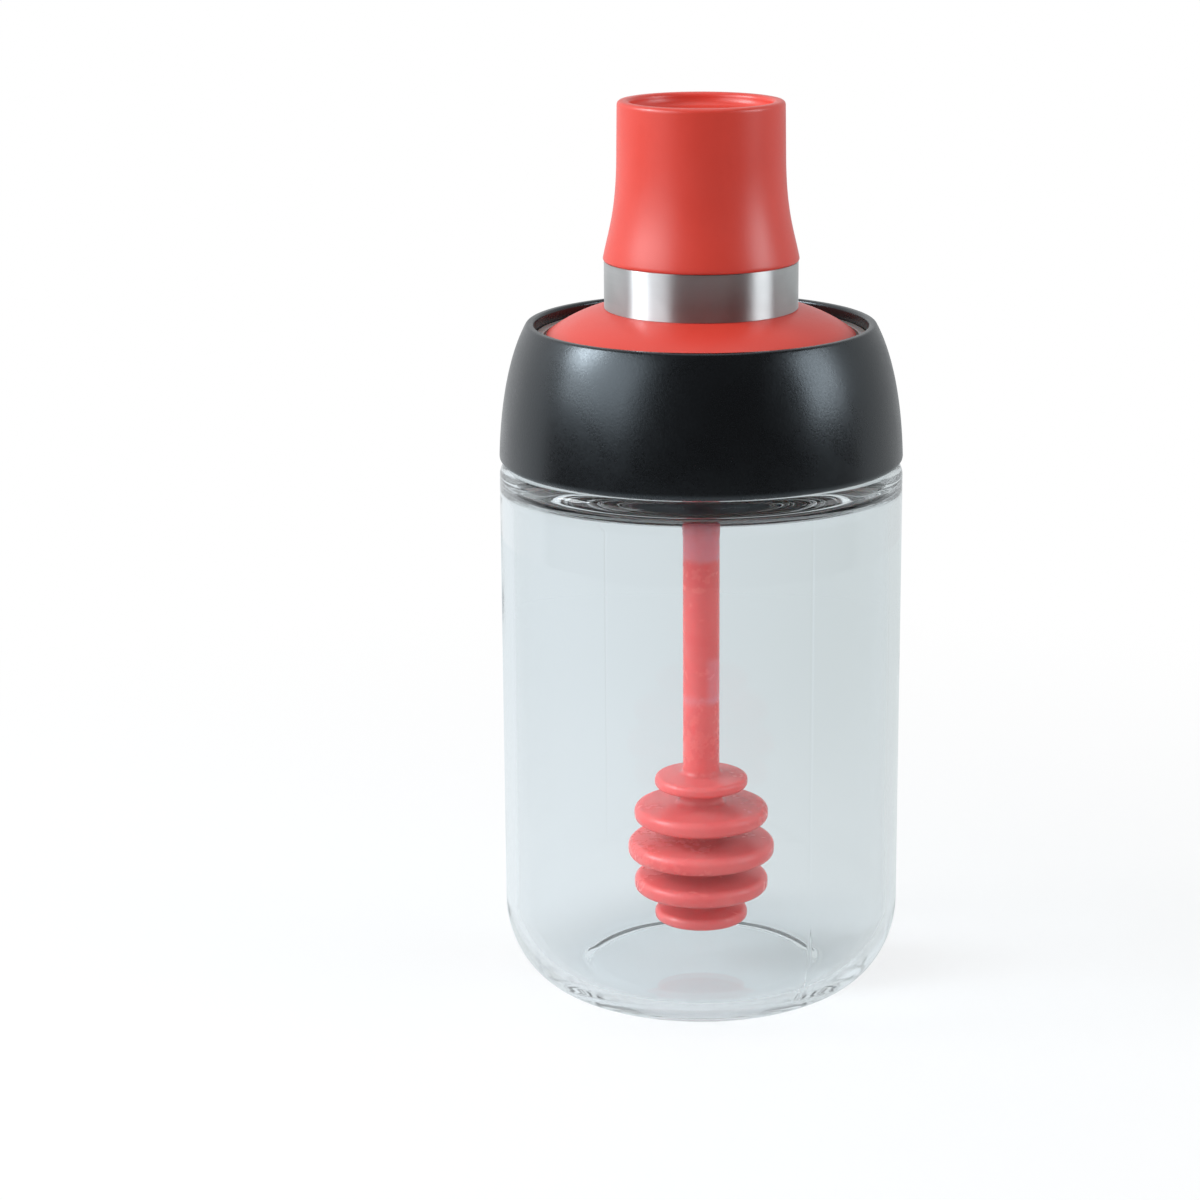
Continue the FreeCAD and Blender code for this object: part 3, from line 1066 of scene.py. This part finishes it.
def makeDome(size):
    seat = topOf("collar_shell") - shellSize["rimRise"]
    shelfHeight = seat + size["rise"]
    edge = Vector((size["edgeRadius"], seat + size["edgeHeight"]))
    shelf = Vector((radiusOf("steel_band") + size["shelf"], shelfHeight))
    middle = (edge + shelf) * 0.5 + Vector((size["bulge"], size["bulge"]))
    roof = arch(edge, middle, shelf, size["archSteps"])
    start = toward(roof[0], roof[1], size["edgeCorner"])
    points = [Vector((edge.x, seat)), edge + Vector((0, -size["edgeCorner"]))]
    points += bend(points[-1], edge, start)[1:] + roof[1:]
    inside = shelfHeight - size["wall"]
    spigotTop = topOf("lid_dome")
    points += outline([
        (size["spigotRadius"], shelfHeight),
        (size["spigotRadius"], spigotTop, size["spigotEdge"]),
        (size["spigotBore"], spigotTop, size["spigotEdge"]),
        (size["spigotBore"], inside),
        (size["bore"], inside - size["innerFall"]),
        (size["bore"], seat),
    ], closed=False)
    turnedPiece("lidDome", closeUp(points), "lid", "coral_plastic", "lid_dome", size)


def makePlug(size):
    seat = bottomOf("lid_dome")
    low, high = bottomOf("lid_plug"), topOf("lid_plug")
    wall, groove, edge = radiusOf("lid_plug"), size["grooveRadius"], size["edge"]
    points = outline([
        (size["bore"], low, edge),
        (wall, low, edge),
        (wall, size["grooveLow"]),
        (groove, size["grooveLow"]),
        (groove, size["grooveHigh"]),
        (wall, size["grooveHigh"]),
        (wall, seat),
        (size["lipRadius"], seat),
        (size["lipRadius"], high, edge),
        (size["bore"], high, edge),
    ])
    turnedPiece("lidPlug", points, "lid", "coral_plastic", "lid_plug", size)


def makeSeal(size):
    low, high = bottomOf("plug_seal"), topOf("plug_seal")
    inner, tip = size["inner"], radiusOf("plug_seal")
    body = inner + size["body"]
    droop = size["finDroop"] * size["body"] / (tip - inner)
    thick, edge = size["finThickness"], size["finEdge"]
    root = high - thick
    points = outline([
        (inner, low),
        (body, low + droop),
        (tip, low + size["finDroop"], edge),
        (tip, low + thick, edge),
        (body, low + thick),
        (body, root + droop),
        (tip, root + size["finDroop"], edge),
        (tip, high, edge),
        (inner, high),
    ])
    turnedPiece("plugSealRing", points, "seal", "soft_seal", "plug_seal", size)


def makeHolder(size):
    low, high = bottomOf("stem_holder"), topOf("stem_holder")
    plate, socket, edge = size["plateTop"], size["socketRadius"], size["edge"]
    floor = plate - size["plateThickness"]
    socketRoof = low + size["socketDepth"]
    points = outline([
        (0, socketRoof),
        (size["socketBore"], socketRoof),
        (size["socketBore"], low, edge),
        (socket, low, edge),
        (socket, floor, edge),
        (size["plateRadius"], floor, edge),
        (size["plateRadius"], plate),
        (size["ringRadius"], plate),
        (size["ringRadius"], size["ringTop"], edge),
        (size["ringBore"], size["ringTop"], edge),
        (size["ringBore"], plate),
        (socket, plate),
        (socket, high, edge),
        (0, high),
    ], closed=False)
    sink, ribTop = size["ribSink"], size["ribTop"]
    inner, outer, low = socket - sink, size["ringBore"] + sink, floor + sink
    rib = [(inner, low), (outer, low), (outer, ribTop), (inner, ribTop)]
    # the stem holder is given the black finish, which makes the lid's underside dark through the glass
    turnedPiece("stemHolder", points, "lid", "black_plastic", "stem_holder", size, rib=rib)


makeDome(domeSize)
makePlug(plugSize)
makeSeal(sealSize)
makeHolder(holderSize)

# the steel band and the waisted grip above it
bandSize = {"wall": 0.5, "edge": 0.12, "segments": 256}
gripSize = {
    "footRadius": 16.1,
    "footCorner": 0.4,
    "footPull": 4.1,
    "footLean": 0.75,
    "waistHeight": 17.0,
    "waistRadius": 13.8,
    "waistPull": 9.5,
    "waistLean": 0.1,
    "topRadius": 13.68,
    "rimWidth": 2.0,
    "rimCorner": 0.65,
    "dishDepth": 2.2,
    "dishCorner": 1.5,
    "roof": 1.9,
    "skirtOutside": 13.75,
    "skirtWall": 1.6,
    "coreTaper": 0.5,
    "coreCorner": 1.5,
    "sideSteps": 40,
    "segments": 256,
}


def makeBand(size):
    points = plainRing("steel_band", radiusOf("steel_band") - size["wall"], size["edge"])
    turnedPiece("steelBand", points, "lid", "brushed_steel", "steel_band", size)


def makeGrip(size):
    low, top, skirtEnd = topOf("steel_band"), topOf("grip"), bottomOf("grip")
    core = size["skirtOutside"] - size["skirtWall"]
    dishRadius = size["topRadius"] - size["rimWidth"]
    dishFloor = top - size["dishDepth"]
    roof = dishFloor - size["roof"]
    foot = Vector((size["footRadius"], low + size["footCorner"]))
    waist = Vector((size["waistRadius"], low + size["waistHeight"]))
    points = outline([
        (0, roof),
        (core - size["coreTaper"], roof, size["coreCorner"]),
        (core, skirtEnd),
        (size["skirtOutside"], skirtEnd),
        (size["skirtOutside"], low),
    ], closed=False)
    corner = size["footCorner"]
    points += bend(foot - Vector((corner, corner)), Vector((foot.x, low)), foot)
    points += curve(
        foot,
        foot + Vector((-size["footLean"], size["footPull"])),
        waist + Vector((size["waistLean"], -size["waistPull"])),
        waist,
        size["sideSteps"],
    )[1:]
    points += outline([
        (waist.x, waist.y),
        (size["topRadius"], top, size["rimCorner"]),
        (dishRadius, top, size["rimCorner"]),
        (dishRadius, dishFloor, size["dishCorner"]),
        (0, dishFloor),
    ], closed=False)[1:]
    turnedPiece("gripHandle", points, "lid", "coral_plastic", "grip", size)


makeBand(bandSize)
makeGrip(gripSize)

# the dipper: a stem, and a head of discs whose rims lie on an ellipsoid
dipperSize = {
    "stemRadius": 3.1,
    "tipCorner": 0.5,
    "stemRootCorner": 0.8,
    "discsEachSide": 2,
    "headRadius": 12.48,
    "headHalfHeight": 15.3,
    "headHeight": 23.1,
    "gap": 3.4,
    "slimness": 4.3,
    "rounding": 0.38,
    "taper": 0.45,
    "coreRadius": 3.6,
    "coreCorner": 0.9,
    "gapPasses": 8,
    "segments": 224,
}


def discPlaces(size):
    # height, radius and thickness of each disc, with equal gaps between them
    middle = (size["headHeight"], size["headRadius"], size["headRadius"] / size["slimness"])
    places = [middle]
    for side in (-1, 1):
        height, radius, thickness = middle
        for number in range(size["discsEachSide"]):
            face = height + side * (thickness / 2 + size["gap"])
            for repeat in range(size["gapPasses"]):
                height = face + side * thickness / 2
                offset = (height - size["headHeight"]) / size["headHalfHeight"]
                radius = size["headRadius"] * math.sqrt(1 - offset ** 2)
                thickness = radius / size["slimness"]
            places.append((height, radius, thickness))
    return sorted(places)


def makeDipper(size):
    corners = []
    for height, radius, thickness in discPlaces(size):
        corner = size["rounding"] * thickness
        root = thickness / 2 + size["taper"]
        corners += [
            (size["coreRadius"], height - root, size["coreCorner"]),
            (radius, height - thickness / 2, corner),
            (radius, height + thickness / 2, corner),
            (size["coreRadius"], height + root, size["coreCorner"]),
        ]
    corners[0] = (0, corners[0][1])
    corners[-1] = (size["stemRadius"], corners[-1][1], size["stemRootCorner"])
    stemTop = topOf("dipper")
    corners += [(size["stemRadius"], stemTop, size["tipCorner"]), (0, stemTop)]
    points = outline(corners, closed=False)
    turnedPiece("honeyDipper", points, "lid", "coral_dipper", "dipper", size)


makeDipper(dipperSize)
print("pieces: made")

# the room: a pale floor that fades into the backdrop, softboxes beside and above, dark in front;
# the backdrop is white, and what is seen of it through the glass is tinted grey-blue and painted darker
# towards the right, a painted shade on the jar's right side
roomSet = {
    "floorRadius": 0.33,
    "floorSegments": 128,
    "floorTone": (0.86, 0.86, 0.86, 1),
    "floorMarks": {"markSize": 0.05, "roughness": 0.6, "spread": 0.1},
    "floorGlow": 0.66,
    "paintedFootShadow": 0.22,  # painted shadow: how much less the floor under the jar glows where seen through the glass or in reflections
    "paintedFootShadowReach": (0.018, 0.048),
    "floorFade": (0.03, 0.26),
    # the glass's grey-blue tint, with painted shade: darker on the right
    "glassTintAndPaintedShade": {"left": (0.80, 0.86, 0.895, 1), "right": (0.68, 0.73, 0.74, 1)},
    "glassPaintedShadeReach": 0.25,
    "nearFloor": 0.14,
    "behindReach": 0.6,
    "ambient": 0.40,
    "behindGlow": {"left": (0.96, 0.98, 1.0, 1), "right": (0.62, 0.64, 0.65, 1)},
    "frontGlow": (0.085, 0.08, 0.08, 1),
    "frontEdge": (0.08, 0.22),
    "target": 0.11,
    "lampTone": (0.90, 0.96, 1.0),
    "lamps": {  # degrees from the front, distance, height, width, tallness, watts
        "leftSoftbox": (-66, 0.70, 0.42, 0.72, 0.48, 4.3),
        "keySoftbox": (-84, 0.70, 0.52, 0.22, 0.26, 3.2),
        "rightSoftbox": (78, 0.70, 0.36, 0.34, 0.40, 2.3),
        "overhead": (0, 0.05, 0.95, 0.60, 0.60, 1.2),
    },
    "bounces": 64,  # fewer leave dark lines in the jar's heel
}


white = (1, 1, 1, 1)


def gradedGlow(tree, sideways, tones, reach):
    share = ramp(tree, sideways, -reach, reach, smooth=True)
    return mixTones(tree, share, tones["left"], tones["right"])


# what is seen through the glass gets the tint, with the painted shade graded from left to right
def withGlassTintAndPaintedShade(tree, sideways, size, seen):
    glow = gradedGlow(tree, sideways, size["glassTintAndPaintedShade"], size["glassPaintedShadeReach"])
    return mixTones(tree, seen, white, glow)


def makeFloor(size):
    mesh = bpy.data.meshes.new("floor")
    disc = bmesh.new()
    radius, segments = size["floorRadius"], size["floorSegments"]
    bmesh.ops.create_circle(disc, cap_ends=True, radius=radius, segments=segments)
    disc.to_mesh(mesh)
    disc.free()
    material, tree = newMaterial("paleFloor")
    roughness = markedRoughness(tree, size["floorMarks"])
    plain = {"Base Color": size["floorTone"], "Roughness": roughness}
    matt = addNode(tree, "ShaderNodeBsdfPrincipled", plain)
    path = addNode(tree, "ShaderNodeLightPath").outputs
    bent = calc(tree, "MAXIMUM", path["Is Transmission Ray"], path["Is Glossy Ray"])
    seen = calc(tree, "MAXIMUM", path["Is Camera Ray"], bent)
    spot = objectSpot(tree)
    away = addNode(tree, "ShaderNodeVectorMath", {"Vector": spot}, operation="LENGTH").outputs["Value"]
    reach = calc(tree, "MAXIMUM", away, size["nearFloor"])
    bearing = calc(tree, "DIVIDE", partsOf(tree, spot)["X"], reach)
    # the floor seen through the glass or in reflections takes the tint and the painted shade
    tone = withGlassTintAndPaintedShade(tree, bearing, size, bent)
    # painted shadow: the floor glows less round the jar's foot where seen through the glass or in
    # reflections
    shade = ramp(tree, away, *size["paintedFootShadowReach"], size["paintedFootShadow"], 0.0, smooth=True)
    strength = calc(tree, "SUBTRACT", 1.0, times(tree, bent, shade))
    glow = addNode(tree, "ShaderNodeEmission", {"Color": tone, "Strength": strength})
    share = ramp(tree, away, *size["floorFade"], size["floorGlow"], 1.0, smooth=True)
    both = mixShaders(tree, times(tree, seen, share), matt.outputs["BSDF"], glow.outputs["Emission"])
    showSurface(tree, both)
    mesh.materials.append(material)
    addObject("floor", mesh)


def makeLamp(name, size):
    degrees, distance, height, width, tall, power = size["lamps"][name]
    light = bpy.data.lights.new(name, "AREA")
    light.shape = "RECTANGLE"
    light.size = width
    light.size_y = tall
    light.energy = power
    light.color = size["lampTone"]
    turn = math.radians(degrees)
    lamp = addObject(name, light)
    lamp.location = (distance * math.sin(turn), -distance * math.cos(turn), height)
    facing = Vector((0, 0, size["target"])) - lamp.location
    lamp.rotation_euler = facing.to_track_quat("-Z", "Y").to_euler()
    lamp.visible_transmission = False  # or the glass bends bright patches of it into the heel


def makeWorld(size):
    world = bpy.data.worlds.new("studio")
    world.use_nodes = True
    tree = world.node_tree
    tree.nodes.clear()

    def background(tone, strength=1.0):
        node = addNode(tree, "ShaderNodeBackground", {"Color": tone, "Strength": strength})
        return node.outputs["Background"]

    parts = partsOf(tree, addNode(tree, "ShaderNodeTexCoord").outputs["Generated"])
    behind = gradedGlow(tree, parts["X"], size["behindGlow"], size["behindReach"])
    depth = ramp(tree, parts["Y"], *size["frontEdge"], smooth=True)
    mirrored = background(mixTones(tree, depth, size["frontGlow"], behind))
    path = addNode(tree, "ShaderNodeLightPath").outputs
    # seen through the glass, the backdrop takes the tint and a painted shade to the right
    backdrop = background(withGlassTintAndPaintedShade(tree, parts["X"], size, path["Is Transmission Ray"]))
    lit = mixShaders(tree, path["Is Glossy Ray"], background(white, size["ambient"]), mirrored)
    seen = calc(tree, "MAXIMUM", path["Is Camera Ray"], path["Is Transmission Ray"])
    addNode(tree, "ShaderNodeOutputWorld", {"Surface": mixShaders(tree, seen, lit, backdrop)})
    scene.world = world


def makeRoom(size):
    makeFloor(size)
    for name in size["lamps"]:
        makeLamp(name, size)
    makeWorld(size)
    scene.view_settings.view_transform = "Standard"
    for kind in ("max", "glossy", "transmission"):
        setattr(scene.cycles, kind + "_bounces", size["bounces"])


makeRoom(roomSet)
print("room: lit")
